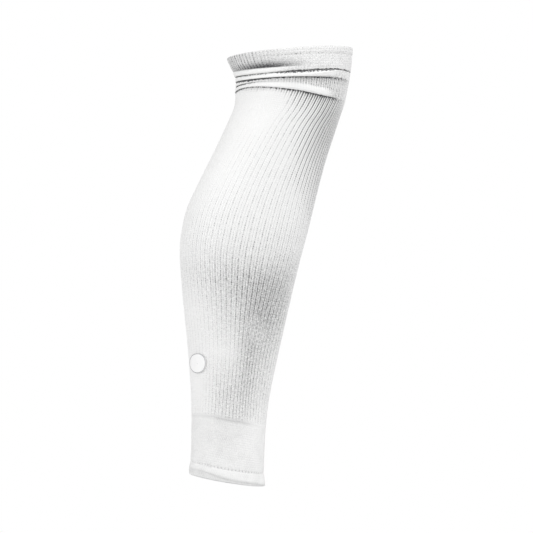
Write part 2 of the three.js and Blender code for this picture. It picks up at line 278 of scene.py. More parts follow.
# Orders in which the faces of a grid go around their corners, in steps of rows and columns
TUBE_ORDER = ((0, 0), (0, 1), (1, 1), (1, 0))
DISC_ORDER = ((0, 0), (1, 0), (1, 1), (0, 1))
THREAD_ORDER = ((0, 1), (0, 0), (1, 0), (1, 1))

# Kinds of knit: how white they are, and how much their gaps, grain, ripples and relief show
Knit = namedtuple("Knit", "name white gaps grain ripple relief")
RIB_KNIT = Knit("rib_knit_white", 0.88, 1.6, 1.4, 0.0, 0.5)
PLAIN_KNIT = Knit("plain_knit_white", 0.85, 0.0, 0.6, 0.1, 0.35)
KNIT_WARMTH = 0.997  # blue of the white knit, as a share of its red
KNIT_DARK = (0.1, 0.1, 0.105)  # colour of the painted shade deep in its gaps and creases, towards which its grain also darkens it
KNIT_SURFACE = {"Roughness": 0.92, "Sheen Weight": 0.2, "Sheen Roughness": 0.55, "Specular IOR Level": 0.25}
CLOSED_PAINTED_SHADE = 0.34  # how much painted shade greys the knit where it is slack and closes up

# Painted shade in the gaps between the ribs, with places in ribs from a rib's middle, and the dots that the
# stitches make of it
GAP_EDGE = (0.36, 0.47)
SPLIT_EDGE = (0.02, 0.1)
DOT_SWING, DOT_LEAST = 0.9, 0.25  # how the darkness swings along each stitch
CHANCE_SWING, CHANCE_LEAST = 0.9, 0.55  # how it differs by chance from stitch to stitch
EVEN_LINES = (0.3, 0.9)  # strength of the lines over which those differences fade
TOOTH_SHARPNESS = 1.5  # of the shade between the ribs under a fold

# Yarn, fuzz, grain and ripples of the knit
YARN_SLANT = 0.55  # how steeply the sides of a stitch run, in courses
YARN_ROUNDNESS = 3.0
YARN_DEPTH = 0.35
FUZZ_SIZE, FUZZ_DETAIL = 0.5, 3.0
FUZZ_SHARE = 0.35  # height of the fuzz as a share of the yarn's
GRAIN_SIZE, GRAIN_DETAIL = 1.2, 1.0
RIPPLE_COURSES, RIPPLE_RIBS = 0.55, 1.5  # ripples for each course and each rib
PATCH_SIZE, PATCH_DETAIL = 14.0, 1.0  # of the patches in which ripples show
PATCH_EDGE = (0.45, 0.65)

# Lines of the creases, whose edges the yarn breaks up
RAGGED_SIZE, RAGGED_DETAIL = 1.4, 1.0
RAGGED_SWING = 2.2
RAGGED_FADE = (0.02, 0.3)  # shade over which the breaks set in
RAGGED_EDGE = (0.25, 0.85)  # shade between which a line darkens

# Looks of the sewing thread
THREAD_SURFACE = {"Roughness": 0.7, "Sheen Weight": 0.15}
# the plies are painted darker where they sink between each other: painted shade
THREAD_PLY_SHADE, THREAD_LIGHT = (0.66, 0.66, 0.66), (0.9, 0.9, 0.895)
THREAD_TWISTS = 3.0  # turns of its plies along a stitch
THREAD_RELIEF, THREAD_DEPTH = 0.5, 0.1

# Looks of the badge, whose ring of painted shade along its edge is given in shares of its size
BADGE_SURFACE = {"Roughness": 0.42}
BADGE_WHITE, BADGE_EDGE_SHADE = (0.93, 0.93, 0.93), (0.4, 0.4, 0.41)
EDGE_RING_INSIDE, EDGE_RING_OUTSIDE = (0.9, 0.93), (0.985, 1.0)
MOTTLE_SIZE, MOTTLE_SHARE = 0.8, 0.12
FILM_SIZE, FILM_DETAIL = 0.35, 3.0
FILM_RELIEF, FILM_DEPTH = 0.25, 0.12

# Floor where the sole of the foot would stand, in metres. It fades out towards its edge.
FLOOR_Z = -0.36
FLOOR_RADIUS = 0.6
FLOOR_FADE = (0.45, 0.98)  # shares of the radius
FLOOR_CORNERS = 128
FLOOR_COLOUR = (0.9, 0.9, 0.9, 1)
FLOOR_SURFACE = {"Roughness": 0.8}

# Square lamps: degrees around from the shin's side, +X, towards +Y, degrees up and power
Lamp = namedtuple("Lamp", "name azimuth elevation power")
LAMPS = [
    Lamp("left_front", 237, 30, 5.9),
    Lamp("above_front", 305, 49, 13.8),
    Lamp("above_right", 350, 50, 6.3),
    Lamp("above_left", 180, 45, 3.8),
    Lamp("left", 180, 5, 10.4),
    Lamp("low_left", 215, -25, 5.7),
    Lamp("front", 300, 10, 10.0),
    Lamp("right", 20, 0, 3.3),
]
LAMP_SIZE = 1.2
LAMP_DISTANCE = 2.0
AMBIENT = 0.45
WHITE = (1, 1, 1, 1)

# Camera, in metres
CAMERA_PLACE = (0.01935, -2.0, -0.03465)
VIEW_WIDTH = 0.4797  # width of the view at the leg's axis
SENSOR = 36.0  # width of the sensor, in millimetres


def station_of(name):
    return SECTION_NAMES.index(name)


def cuff_station(share):
    seam = station_of("cuff seam")
    return seam + (LAST_STATION - seam) * share


def smoothstep(low, high, value):
    share = np.clip((value - low) / (high - low), 0, 1)
    return share * share * (3 - 2 * share)


def bell(distance, spread):
    return np.exp(-((distance / spread) ** 2))


def through(values, place):
    """A smooth curve through evenly spaced values, read at places counted from the first one."""
    values = np.asarray(values, float)
    last = len(values) - 1
    index = np.clip(np.floor(place).astype(int), 0, last - 1)
    share = place - index
    before = values[np.maximum(index - 1, 0)]
    here = values[index]
    there = values[index + 1]
    after = values[np.minimum(index + 2, last)]
    leave = (there - before) / 2
    arrive = (after - here) / 2
    cubic = 2 * (here - there) + leave + arrive
    square = 3 * (there - here) - 2 * leave - arrive
    return ((cubic * share + square) * share + leave) * share + here


def from_shin(angle):
    return np.arccos(np.cos(angle))


def from_back(angle):
    return math.pi - from_shin(angle)


def around(places, angle):
    """The value at an angle of a row of places that run around half the leg from the back."""
    return through(places, from_back(angle) / math.pi * (len(places) - 1))


def strength(places, angle):
    """The same for a strength, which is never below 0."""
    return np.maximum(around(places, angle), 0)


def leg_forms(station, shin):
    """How far the leg's low forms push the knit out."""
    turn = np.degrees(shin)
    total = 0.0
    for form in FORMS:
        apart = ((station - form.station) / form.along) ** 2 + ((turn - form.turn) / form.across) ** 2
        total = total + form.height * np.exp(-apart)
    return total * smoothstep(0, FORM_EDGE, turn)


def surface(station, angle, lift=0.0, slide=0.0):
    """Points of the sleeve in millimetres. lift stands off the surface and slide moves along the leg."""
    columns = [through(values, station) for values in SECTION_COLUMNS]
    back_x, back_z, front_x, front_z, half_width, taper, furrow = columns
    depth = np.hypot(front_x - back_x, front_z - back_z)
    forward_x = (front_x - back_x) / depth
    forward_z = (front_z - back_z) / depth
    cos, sin = np.cos(angle), np.sin(angle)
    normal_x = half_width * (cos - taper * np.cos(2 * angle))
    normal_y = depth / 2 * sin
    length = np.hypot(normal_x, normal_y)
    shin = from_shin(angle)
    off = lift + leg_forms(station, shin) - furrow * bell(shin - FURROW_ANGLE, FURROW_SPREAD)
    along = depth / 2 * cos + normal_x / length * off
    x = (back_x + front_x) / 2 + forward_x * along - forward_z * slide
    y = half_width * sin * (1 - taper * cos) + normal_y / length * off
    z = (back_z + front_z) / 2 + forward_z * along + forward_x * slide
    return np.stack(np.broadcast_arrays(x, y, z), -1)


def slack_at(station, angle):
    """How slack the knit is at a place of the sleeve."""
    stations = [station_of(name) for name in SLACK]
    row = np.interp(station, stations, np.arange(len(SLACK)))
    low = np.clip(np.floor(row).astype(int), 0, len(SLACK) - 2)
    place = np.interp(np.degrees(from_back(angle)), SLACK_PLACES, np.arange(len(SLACK_PLACES)))
    values = np.array([through(places, place) for places in SLACK.values()])
    columns = np.arange(values.shape[-1])
    share = row - low
    return np.clip(values[low, columns] * (1 - share) + values[low + 1, columns] * share, 0, 1)


def rib_angle(station):
    """Where the columns lie around the leg at a station."""
    shin = from_shin(COLUMN_ANGLE)
    turn = np.degrees(shin)
    knee = KNEE_TURN * smoothstep(*KNEE_TURN_RISE, station)
    knee = knee * smoothstep(*KNEE_TURN_FRONT, turn) * smoothstep(*KNEE_TURN_BACK, 180 - turn)
    calf = CALF_TURN * smoothstep(*CALF_TURN_RISE, station) * (1 - smoothstep(*CALF_TURN_FALL, station))
    calf = calf * smoothstep(*CALF_TURN_FRONT, turn) * smoothstep(*CALF_TURN_BACK, 180 - turn)
    return np.sign(np.sin(COLUMN_ANGLE)) * (shin - knee - calf)


def groove(distance):
    """Depth of a groove from 0 to 1 at a distance from its middle, in ribs."""
    return GROOVE_SHARP * bell(distance, GROOVE_CORE) + (1 - GROOVE_SHARP) * bell(distance, GROOVE_SIDE)


def rib_relief(slack, split):
    """How far the knit sinks between the ribs and, less, down the middle of each."""
    share = COLUMN_RIB % 1
    between = groove(np.minimum(share, 1 - share))
    middle = groove(np.abs(share - 0.5))
    return -RIB_DEPTH * (TAUT_SHARE + (1 - TAUT_SHARE) * np.sqrt(slack)) * (between + split * middle)


def grid_corners(rows, columns, order):
    """Rows and columns of the corners of all faces of a grid."""
    row, column = np.indices((rows, columns))
    return [(row + up, column + along) for up, along in order]


def grid_faces(corners, rows, columns):
    """Faces between rows of points, where the last row and column are followed by the first."""
    numbers = [row % rows * columns + column % columns for row, column in corners]
    return np.stack(numbers, -1).reshape(-1, 4)


def grid_uv(corners, place):
    """Flat places of the corners of all faces, from a function of row and column."""
    return np.stack([np.stack(place(row, column), -1) for row, column in corners], 2).reshape(-1, 2)


def add_mesh(name, points, faces, uv, material, attributes=None):
    """A smooth mesh object from points in millimetres."""
    mesh = bpy.data.meshes.new(name)
    mesh.from_pydata((points.reshape(-1, 3) * MM).tolist(), [], faces.tolist())
    mesh.polygons.foreach_set("use_smooth", np.ones(len(faces), bool))
    mesh.uv_layers.new(name="Knit").data.foreach_set("uv", uv.astype(np.float32).ravel())
    for key, values in (attributes or {}).items():
        layer = mesh.attributes.new(key, "FLOAT", "POINT")
        layer.data.foreach_set("value", values.astype(np.float32).ravel())
    mesh.materials.append(material)
    mesh.update()
    piece = bpy.data.objects.new(name, mesh)
    bpy.context.scene.collection.objects.link(piece)
    return piece


def knit_tube(name, outer, inner, material, looks):
    """A tube of knit. outer and inner are rows of points that both run upwards, columns run around the leg.
    looks has the values that the material reads, by name, for each row of the outside."""
    points = np.array([*outer, *inner[::-1]])
    rows, columns = points.shape[:2]
    corners = grid_corners(rows, columns, TUBE_ORDER)
    steps = np.linalg.norm(np.diff(points, axis=0), axis=-1).mean(1)
    course = np.append(0, np.cumsum(steps)) / COURSE
    ribs = np.append(COLUMN_RIB, RIB_COUNT)
    uv = grid_uv(corners, lambda row, column: (ribs[column], course[row % rows]))
    lining = np.zeros((len(inner), columns))
    attributes = {key: np.concatenate([[row[key] for row in looks], lining]) for key in looks[0]}
    return add_mesh(name, points, grid_faces(corners, rows, columns), uv, material, attributes)


def even_rows(count, length):
    """Shares of a length in even steps, with a narrow step at both ends."""
    edge = EDGE_STEP / length
    return np.concatenate([[0], np.linspace(edge, 1 - edge, count), [1]])


def knit_line(angle):
    """Station of the line where the plain knit of the ankle turns into ribs."""
    turn = np.degrees(from_shin(angle))
    bow = sum(height * bell(turn - place, spread) for _, place, spread, height in KNIT_LINE_BOWS)
    start = station_of("rib start")
    pitch = SECTIONS[start + 1].back_z - SECTIONS[start].back_z
    return start + bow / pitch


def knit_line_shade(angle, distance):
    """How dark the painted shade is at a distance from that line."""
    return strength(KNIT_LINE_DARK, angle) * bell(distance, KNIT_LINE_WIDTH)


def crease_shade(crease, closed, distance):
    """How dark the painted shade of a crease is at a distance over it."""
    return closed * bell(distance, np.where(distance > 0, crease.up, crease.down))


def towards_knee(station, calf, knee):
    """A value that changes from the calf to the knee."""
    return calf + (knee - calf) * smoothstep(*CALF_TO_KNEE, station)


def leg_place(share):
    """Stations and angles of a row of points, at a share of the way up the ribbed leg."""
    guess = rib_angle(station_of("rib start") + share * LEG_STATIONS)
    low = knit_line(guess)
    high = cuff_station(around(CUFF_EDGE, guess))
    station = low + (high - low) * share
    return station, rib_angle(station)


def leg_row(share):
    """Points and looks of a row on the outside of the ribbed leg."""
    station, angle = leg_place(share)
    above_line = share * LEG_LENGTH
    below_fold = (1 - share) * LEG_LENGTH
    slack = slack_at(station, angle) * smoothstep(0, RIB_ONSET, above_line)
    on_calf = smoothstep(*CALF_SPLIT_RISE, station) * (1 - smoothstep(*CALF_SPLIT_FALL, station))
    split = LEG_SPLIT + (CALF_SPLIT - LEG_SPLIT) * on_calf
    looks = {
        "grey": slack * towards_knee(station, CALF_PAINTED_SHADE, KNEE_PAINTED_SHADE),
        "grain": np.sqrt(slack) * towards_knee(station, CALF_GRAIN, KNEE_GRAIN),
        "lines": np.sqrt(slack) * towards_knee(station, CALF_LINES, KNEE_LINES),
        "split": split,
        "shade": strength(CREASES[0].closed, angle) * bell(below_fold, LEG_SHADE),
        "smear": knit_line_shade(angle, above_line),
        "comb": strength(LEG_COMB, angle) * np.exp(-below_fold / LEG_COMB_LENGTH),
    }
    return surface(station, angle, rib_relief(slack, split)), looks


def ribbed_leg(material):
    """The rib knit over the calf and shin. Its upper edge arches up under the lowest fold."""
    outer, looks = zip(*[leg_row(share) for share in even_rows(LEG_ROWS, LEG_LENGTH)])
    inner = [surface(*leg_place(share), -WALL) for share in even_rows(LEG_LINING_ROWS, LEG_LENGTH)]
    return knit_tube("ribbed_leg_knit", outer, inner, material, looks)


# A row of points across the gathered knit: its share of the cuff's length, height over the leg, how far it
# lies on the face of a fold, and how dark its painted shade is as a line, softly, and between the ribs
CuffRow = namedtuple("CuffRow", "share height face line smear comb")


def fold_lines(angle):
    """Places of the folds' crests, and of the creases under them and over the last one."""
    crests = [around(fold.crest, angle) for fold in FOLDS]
    creases = [around(CUFF_EDGE, angle)]
    creases += [(low + high) / 2 for low, high in zip(crests, crests[1:])]
    creases.append(2 * crests[-1] - creases[-1])
    return crests, creases


def fold_form(index, angle):
    """Height of a fold's crest, and how much of the fold is left where it dies away."""
    fold = FOLDS[index]
    back = np.degrees(from_back(angle))
    fade = 1 - smoothstep(fold.reach - FOLD_FADE, fold.reach, back)
    tight = FOLD_BACK + (1 - FOLD_BACK) * smoothstep(0, FOLD_BACK_SPREAD, back)
    first, second = [waves * angle + shift * index for waves, shift in zip(SWAY_WAVES, SWAY_SHIFTS)]
    sway = 1 + FOLD_SWAY * np.sin(first) * np.cos(second)
    return fold.height * fade * tight * sway, fade


def fold_rows(angle):
    """Rows across the folds, from the crease under the lowest one to the crease over the last."""
    crests, creases = fold_lines(angle)
    rows = []
    for index, crest in enumerate(crests):
        height, fade = fold_form(index, angle)
        for turn in np.linspace(0, math.pi, FOLD_ROWS, endpoint=False):
            near = index if turn < math.pi / 2 else index + 1
            crease = CREASES[near]
            closed = strength(crease.closed, angle)
            share = crest + (creases[near] - crest) * abs(math.cos(turn))
            sunk = crease.depth * closed * (1 - math.sin(turn)) ** 2
            shade = crease_shade(crease, closed, (share - creases[near]) * CUFF_LENGTH)
            under = (creases[UNDER_MIDDLE_ROLL] - share) * CUFF_LENGTH
            comb = np.where(under >= 0, strength(CUFF_COMB, angle) * np.exp(-under / CUFF_COMB_LENGTH), 0)
            soft = crease is CREASES[-1]
            rows.append(CuffRow(
                share=share,
                height=height * math.sin(turn) - sunk,
                face=fade * math.sin(turn),
                line=0 * shade if soft else shade,
                smear=shade if soft else (1 - COMB_TEETH) * comb,
                comb=COMB_TEETH * comb,
            ))
    return rows


def band_rows(angle):
    """Rows across the smooth band over the folds and the welt along its rim."""
    flat = np.zeros_like(angle)
    top = fold_lines(angle)[1][-1]
    crease = CREASES[-1]
    closed = strength(crease.closed, angle)
    welt = strength(WELT_LINE, angle)
    rows = []
    for up in np.linspace(0, 1, BAND_ROWS):
        share = top + (WELT_FOOT - top) * up
        # painted shade over the crease under the band
        shade = crease_shade(crease, closed, (share - top) * CUFF_LENGTH)
        rows.append(CuffRow(share, -crease.depth * shade, flat, welt * (up == 1), shade, flat))
    for share in np.linspace(WELT_FOOT + WELT_STEP, 1, WELT_ROWS):
        rows.append(CuffRow(flat + share, flat + WELT_LIFT, flat, flat, flat, flat))
    return rows


def cuff_row(row, angle):
    """Points and looks of a row on the outside of the gathered knit."""
    station = cuff_station(row.share)
    slack = slack_at(station, angle)
    plain = np.minimum(strength(BAND_PLAIN, angle), 1)
    rolled = smoothstep(0, ROLLED_FACE, row.face)
    ribbed = (1 - rolled) * (1 - plain * smoothstep(*BAND_START, row.share))
    grain = CUFF_GRAIN * (RIBBED_GRAIN + (1 - RIBBED_GRAIN) * plain)
    hang = -FOLD_LEAN * np.maximum(row.height, 0) * (row.face > 0)
    looks = {
        "grey": slack * (1 - rolled),
        "grain": grain * np.sqrt(slack) * (1 - rolled),
        "lines": CUFF_LINES * np.sqrt(slack) * ribbed,
        "split": np.full_like(angle, CUFF_SPLIT),
        "shade": row.line,
        "smear": row.smear,
        "comb": row.comb,
    }
    return surface(station, angle, row.height + rib_relief(slack * ribbed, CUFF_SPLIT), hang), looks


def cuff_lining(rows, angle):
    """Rows of the cuff's smooth inside, which stays clear of the creases."""
    top = fold_lines(angle)[1][-1]
    inner = []
    for row in rows[:-1:LINING_SKIP] + rows[-1:]:
        gathered = 1 - smoothstep(top - LINING_RETURN, WELT_FOOT, row.share)
        inner.append(surface(cuff_station(row.share), angle, -WALL - LINING_CLEAR * gathered))
    return inner


def welt_rim(angle):
    """Rows around the rounded rim of the welt."""
    rim = np.full_like(angle, LAST_STATION)
    radius = (WALL + WELT_LIFT) / 2
    middle = WELT_LIFT - radius
    return [surface(rim, angle, middle + radius * math.cos(t), radius * math.sin(t)) for t in RIM_TURNS]


def knee_cuff(material):
    """The rib knit gathered into folds behind the knee, then a smooth band whose rim is turned over."""
    angle = rib_angle(float(station_of("lower gathers")))
    rows = fold_rows(angle) + band_rows(angle)
    outer, looks = zip(*[cuff_row(row, angle) for row in rows])
    outer += tuple(welt_rim(angle))
    looks += looks[-1:] * RIM_ROWS
    return knit_tube("knee_cuff_knit", outer, cuff_lining(rows, angle), material, looks)


def sewn_seam(angle, distance):
    """How far the sewing moves the knit at a distance from the sewn line, and how dark the painted shade in
    its dimples is.
    """
    pitch = 2 * math.pi * SECTIONS[station_of("hem seam")].half_width / RIB_COUNT
    beside = np.abs(COLUMN_RIB % 1 - 0.5) * pitch
    pierced = bell(distance, PIERCE_SIZE) * bell(beside, PIERCE_SIZE)
    pull = SEAM_PULL * bell(distance, SEAM_SPREAD)
    return -pull - PIERCE_DEPTH * pierced, pierced * around(PIERCE_DARK, angle)


def plain_looks(slack, smear, pierced):
    return {"grey": slack, "grain": np.sqrt(slack), "smear": smear, "pierced": pierced}


def ankle_cuff(material):
    """A short tube of plain knit between the ribs and the hem."""
    seam = station_of("hem seam")
    angle = rib_angle(float(seam))
    length = knit_line(angle) - seam
    outer, looks = [], []
    for share in even_rows(ANKLE_ROWS, ANKLE_LENGTH):
        station = seam + length * share
        pull, pierced = sewn_seam(angle, share * ANKLE_LENGTH)
        outer.append(surface(station, angle, pull))
        line = knit_line_shade(angle, (1 - share) * ANKLE_LENGTH)
        looks.append(plain_looks(slack_at(station, angle), line, pierced))
    lining = even_rows(LINING_ROWS, ANKLE_LENGTH)
    inner = [surface(seam + length * share, angle, -PLAIN_WALL) for share in lining]
    return knit_tube("ankle_knit", outer, inner, material, looks)


def hem_points(angle, height, lift):
    """A row of points of the hem at a height over the rim."""
    marks = [HEM_HEIGHT * mark for mark in HEM_MARKS]
    station = np.interp(height, marks, range(len(marks)))
    return surface(np.full_like(angle, station), angle, lift)


def hem_outside(angle):
    """Rows and looks of the hem's outside, sewn down along its upper side and creased over the rim."""
    crease = around(HEM_CREASE_HEIGHT, angle)
    deep = around(HEM_CREASE_DEPTH, angle)
    dark = strength(HEM_CREASE_DARK, angle)
    slack = slack_at(np.full_like(angle, station_of("hem middle")), angle)
    outer, looks = [], []
    for share in even_rows(HEM_ROWS, HEM_HEIGHT):
        height = HEM_ROUND + (HEM_HEIGHT - HEM_ROUND) * share
        pull, pierced = sewn_seam(angle, HEM_HEIGHT - height)
        bulge = HEM_BULGE * math.sin(math.pi * height / HEM_HEIGHT)
        sunk = deep * bell(height - crease, HEM_CREASE_SPREAD)
        outer.append(hem_points(angle, height, bulge - sunk + pull))
        # painted shade along the hem's crease, which reaches further down than up
        spread = np.where(height > crease, HEM_CREASE_SPREAD, HEM_CREASE_FADE)
        looks.append(plain_looks(slack, dark * bell(height - crease, spread), pierced))
    return outer, looks


def bottom_hem(material):
    """The turned edge at the ankle: doubled knit with a rounded rim."""
    angle = rib_angle(0.0)
    outer, looks = hem_outside(angle)
    radius = HEM_WALL / 2
    inner = []
    for turn in RIM_TURNS[::-1]:
        inner.append(hem_points(angle, HEM_ROUND * (1 - math.sin(turn)), radius * math.cos(turn) - radius))
    for share in even_rows(LINING_ROWS, HEM_HEIGHT):
        inner.append(hem_points(angle, HEM_ROUND + (HEM_HEIGHT - HEM_ROUND) * share, -HEM_WALL))
    return knit_tube("hem_knit", outer, inner, material, looks)


def hem_stitches(material):
    """The sewing thread of the hem: one short stitch between each two places where it pierces the knit."""
    seam = float(station_of("hem seam"))
    along = np.linspace(-0.5, 0.5, THREAD_STEPS)[:, None]
    turns = np.linspace(0, 2 * math.pi, THREAD_SIDES, endpoint=False)
    arch = np.sqrt(np.clip(1 - (2 * along) ** 2, 0, 1))
    ring = THREAD_RADIUS * (THREAD_END + (1 - THREAD_END) * arch)
    lift = THREAD_RISE * THREAD_RADIUS * arch - SEAM_PULL + ring * np.cos(turns)
    slide = ring * np.sin(turns)
    places = 2 * math.pi * (np.arange(RIB_COUNT)[:, None, None] + THREAD_SHARE * along) / RIB_COUNT
    points = np.array([surface(seam, angle, lift, slide) for angle in places])
    corners = grid_corners(THREAD_STEPS - 1, THREAD_SIDES, THREAD_ORDER)
    first = np.arange(RIB_COUNT)[:, None, None] * lift.size
    faces = (first + grid_faces(corners, THREAD_STEPS, THREAD_SIDES)).reshape(-1, 4)
    uv = grid_uv(corners, lambda row, column: (column % THREAD_SIDES / THREAD_SIDES, row / THREAD_STEPS))
    return add_mesh("hem_stitches", points, faces, np.tile(uv, (RIB_COUNT, 1)), material)


def badge_rings():
    """Sizes of the badge's rings, as shares of its own, and heights: its face, its bevel and its back."""
    top = BADGE_CLEARANCE + BADGE_THICKNESS
    bevel = BADGE_BEVEL / BADGE_HALF_HEIGHT
    sizes = np.linspace(BADGE_CORE, 1 - bevel, BADGE_RINGS)
    rings = [(size, top) for size in sizes]
    for turn in np.linspace(*BADGE_BEVEL_TURNS):
        rings.append((1 - bevel * (1 - math.sin(turn)), top - BADGE_BEVEL * (1 - math.cos(turn))))
    rings.append((1, BADGE_CLEARANCE))
    rings += [(size, BADGE_CLEARANCE) for size in sizes[::-BADGE_BACK_SKIP]]
    return np.array(rings).T[:, :, None]


def badge_disc(material):
    """The thin round patch, which follows the curve of the calf just clear of the ribs."""
    probe = 0.01
    centre = surface(BADGE_STATION, BADGE_ANGLE)
    per_angle = np.linalg.norm(surface(BADGE_STATION, BADGE_ANGLE + probe) - centre) / probe
    per_station = np.linalg.norm(surface(BADGE_STATION + probe, BADGE_ANGLE) - centre) / probe
    size, lift = badge_rings()
    turns = np.linspace(0, 2 * math.pi, BADGE_FACETS, endpoint=False)
    reach = size * np.cos(turns)
    rise = size * np.sin(turns)
    across = BADGE_HALF_WIDTH * reach
    up = BADGE_HALF_HEIGHT * rise + BADGE_LEAN * across
    shifted = across - BADGE_WRAP * reach**2
    points = surface(BADGE_STATION + up / per_station, BADGE_ANGLE + shifted / per_angle, lift)
    rows, columns = reach.shape
    corners = grid_corners(rows, columns, DISC_ORDER)

    def flat_place(row, column):
        ring, facet = row % rows, column % columns
        return reach[ring, facet], rise[ring, facet]

    faces = grid_faces(corners, rows, columns)
    return add_mesh("badge_disc", points, faces, grid_uv(corners, flat_place), material)


def new_node(tree, kind, inputs=(), **settings):
    """Adds a node. Its inputs are given in order or by name, as values or as outputs to link."""
    node = tree.nodes.new(kind)
    for key, value in settings.items():
        setattr(node, key, value)
    pairs = inputs.items() if isinstance(inputs, dict) else enumerate(inputs)
    for key, value in pairs:
        if isinstance(value, bpy.types.NodeSocket):
            tree.links.new(value, node.inputs[key])
        else:
            node.inputs[key].default_value = value
    return node


def calc(tree, operation, *inputs):
    return new_node(tree, "ShaderNodeMath", inputs, operation=operation).outputs[0]


def inverse(tree, value):
    """1 less the value."""
    return calc(tree, "SUBTRACT", 1.0, value)


def ramp_between(tree, value, low, high):
    """A smooth step from 0 to 1 as the value goes from low to high."""
    inputs = (value, low, high, 0.0, 1.0)
    return new_node(tree, "ShaderNodeMapRange", inputs, interpolation_type="SMOOTHSTEP").outputs[0]


def waves(tree, value):
    """Even waves from 0 to 1, one for each unit of the value."""
    wave = calc(tree, "COSINE", calc(tree, "MULTIPLY", value, 2 * math.pi))
    return calc(tree, "MULTIPLY_ADD", wave, 0.5, 0.5)


def object_place(tree):
    return new_node(tree, "ShaderNodeTexCoord").outputs["Object"]


def flat_uv(tree):
    return new_node(tree, "ShaderNodeUVMap", uv_map="Knit").outputs[0]


def vector_length(tree, vector):
    return new_node(tree, "ShaderNodeVectorMath", (vector,), operation="LENGTH").outputs["Value"]


def point_value(tree, name):
    return new_node(tree, "ShaderNodeAttribute", attribute_name=name).outputs["Fac"]


def noise(tree, size, detail=2.0):
    """Even noise around 0.5 with lumps of a size in millimetres."""
    inputs = {"Vector": object_place(tree), "Scale": 1 / (size * MM), "Detail": detail}
    return new_node(tree, "ShaderNodeTexNoise", inputs).outputs["Fac"]


def new_material(name, sockets):
    """A material whose even values sit on the shader's own sockets."""
    material = bpy.data.materials.new(name)
    material.use_nodes = True
    shader = material.node_tree.nodes["Principled BSDF"]
    for key, value in sockets.items():
        shader.inputs[key].default_value = value
    return material, material.node_tree, shader


def paint(tree, shader, shade, first, last):
    """Colours the surface from the first to the last colour as the shade goes from 0 to 1."""
    ramp = new_node(tree, "ShaderNodeValToRGB", (shade,))
    for element, colour in zip(ramp.color_ramp.elements, (first, last)):
        element.color = (*colour, 1)
    tree.links.new(ramp.outputs[0], shader.inputs["Base Color"])


def emboss(tree, shader, height, relief, depth):
    """Gives the surface a fine relief with a depth in millimetres."""
    bump = new_node(tree, "ShaderNodeBump", {"Strength": relief, "Distance": depth * MM, "Height": height})
    tree.links.new(bump.outputs[0], shader.inputs["Normal"])


def stitch_height(tree, rib, course):
    """Relief of the yarn from 0 to 1: columns of stitches, each a row of nested arrows."""
    across = calc(tree, "FRACT", calc(tree, "MULTIPLY", rib, WALES))
    side = calc(tree, "ABSOLUTE", calc(tree, "MULTIPLY_ADD", across, 2.0, -1.0))
    yarn = waves(tree, calc(tree, "MULTIPLY_ADD", side, YARN_SLANT, course))
    edge = inverse(tree, calc(tree, "POWER", side, YARN_ROUNDNESS))
    return calc(tree, "MULTIPLY", yarn, edge)


def stitch_chance(tree, rib, course, lines):
    """How dark the painted shade of each stitch in a gap is by chance. The more the gaps gape, the more
    alike they are.
    """
    column = calc(tree, "ROUND", calc(tree, "MULTIPLY", rib, WALES))
    stitch = new_node(tree, "ShaderNodeCombineXYZ", (column, calc(tree, "ROUND", course))).outputs[0]
    chance = new_node(tree, "ShaderNodeTexWhiteNoise", {"Vector": stitch}, noise_dimensions="2D")
    uneven = calc(tree, "MULTIPLY_ADD", chance.outputs["Value"], CHANCE_SWING, CHANCE_LEAST)
    even = ramp_between(tree, lines, *EVEN_LINES)
    return calc(tree, "MULTIPLY_ADD", inverse(tree, uneven), even, uneven)


def gap_shade(tree, rib, course):
    """Painted shade in the gaps between the ribs and down their middles. The stitches break it up into
    dots.
    """
    lines = point_value(tree, "lines")
    middle = calc(tree, "ABSOLUTE", calc(tree, "SUBTRACT", calc(tree, "FRACT", rib), 0.5))
    between = ramp_between(tree, middle, *GAP_EDGE)
    split = inverse(tree, ramp_between(tree, middle, *SPLIT_EDGE))
    both = calc(tree, "MULTIPLY_ADD", split, point_value(tree, "split"), between)
    dots = calc(tree, "MULTIPLY_ADD", waves(tree, course), DOT_SWING, DOT_LEAST)
    dark = calc(tree, "MULTIPLY", stitch_chance(tree, rib, course, lines), lines)
    return calc(tree, "MULTIPLY", calc(tree, "MULTIPLY", both, dots), dark)


def comb_shade(tree, rib):
    """Painted shade of a fold that reaches down between the ribs."""
    teeth = calc(tree, "POWER", waves(tree, calc(tree, "MULTIPLY", rib, WALES)), TOOTH_SHARPNESS)
    return calc(tree, "MULTIPLY", teeth, point_value(tree, "comb"))


def ragged_line(tree):
    """The painted shade of a crease, whose edges the yarn breaks up."""
    shade = point_value(tree, "shade")
    lumps = noise(tree, RAGGED_SIZE, RAGGED_DETAIL)
    breaks = calc(tree, "MULTIPLY_ADD", lumps, RAGGED_SWING, -RAGGED_SWING / 2)
    rough = calc(tree, "MULTIPLY_ADD", breaks, ramp_between(tree, shade, *RAGGED_FADE), shade)
    return ramp_between(tree, rough, *RAGGED_EDGE)


def grain_shade(tree):
    speckle = calc(tree, "SUBTRACT", noise(tree, GRAIN_SIZE, GRAIN_DETAIL), 0.5)
    return calc(tree, "MULTIPLY", speckle, point_value(tree, "grain"))


def ripple_shade(tree, rib, course):
    """Slanted ripples that show in patches."""
    slant = calc(tree, "MULTIPLY_ADD", course, RIPPLE_COURSES, calc(tree, "MULTIPLY", rib, RIPPLE_RIBS))
    patches = ramp_between(tree, noise(tree, PATCH_SIZE, PATCH_DETAIL), *PATCH_EDGE)
    return calc(tree, "MULTIPLY", waves(tree, slant), patches)


